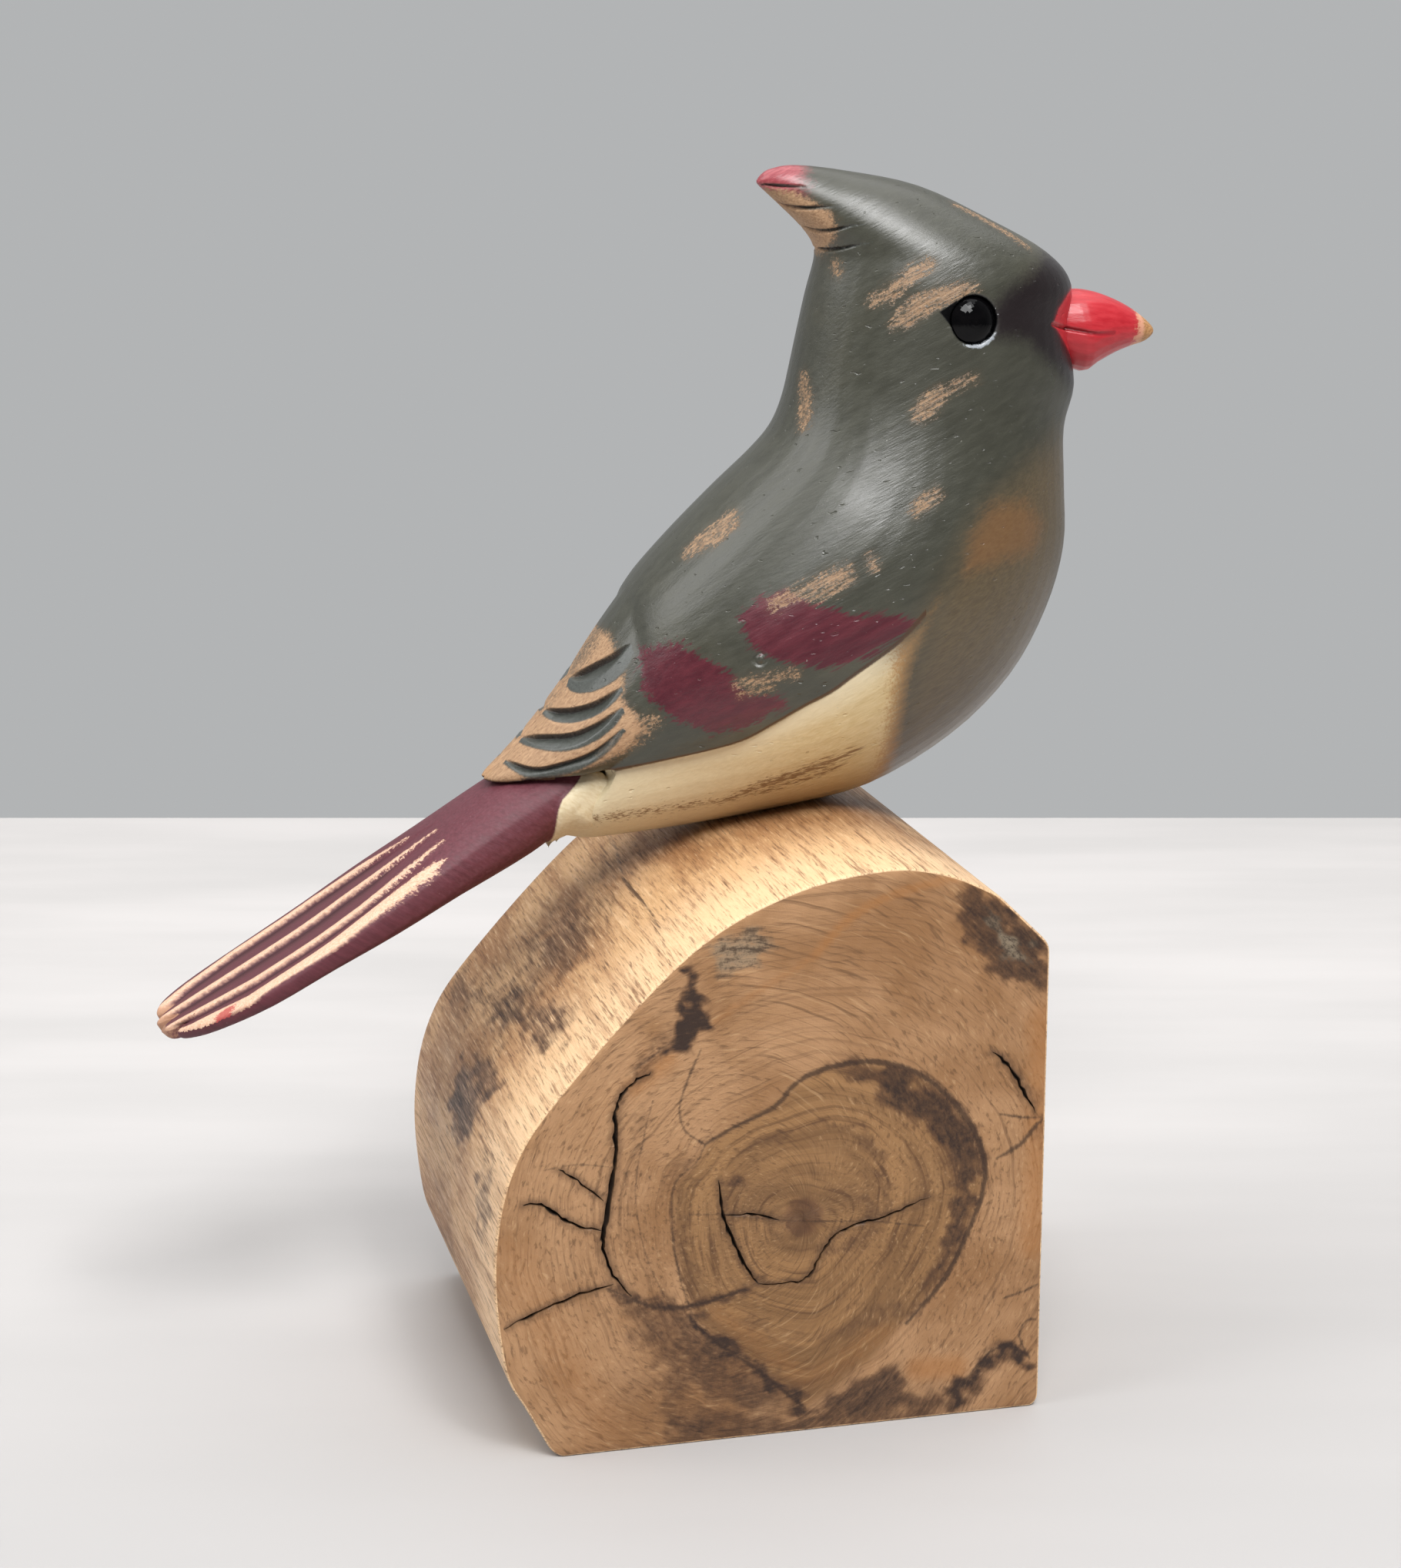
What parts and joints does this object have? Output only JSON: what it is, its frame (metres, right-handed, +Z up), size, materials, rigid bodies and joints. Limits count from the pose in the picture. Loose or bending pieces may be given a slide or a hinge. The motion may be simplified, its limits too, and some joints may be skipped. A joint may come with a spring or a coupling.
{
  "type": "carved wooden bird ornament",
  "caption": "Carved and painted crested songbird perched on a sawn log block, for a shelf or table.",
  "frame": {"origin": "middle of the log's flat underside", "axes": "+X is the way the bird faces, +Y runs back along the grain of the log, +Z is up"},
  "size_m": [0.1494, 0.069, 0.173],
  "materials": {
    "log_wood": "sanded and oiled, satin",
    "body_paint": "brushed olive grey paint, rubbed back to bare wood in places, eggshell",
    "tail_paint": "brushed maroon paint, rubbed bare on the feather ridges, eggshell",
    "beak_paint": "brushed coral red paint, rubbed bare at the tip, satin",
    "eye_glass": "black, high gloss",
    "dowel_wood": "plain beech"
  },
  "bodies": {
    "root": {"log_base": "log_wood", "bird_body": "body_paint", "tail": "tail_paint", "beak": "beak_paint", "eye_left": "eye_glass", "eye_right": "eye_glass", "perch_dowel": "dowel_wood"}
  },
  "joints": []
}
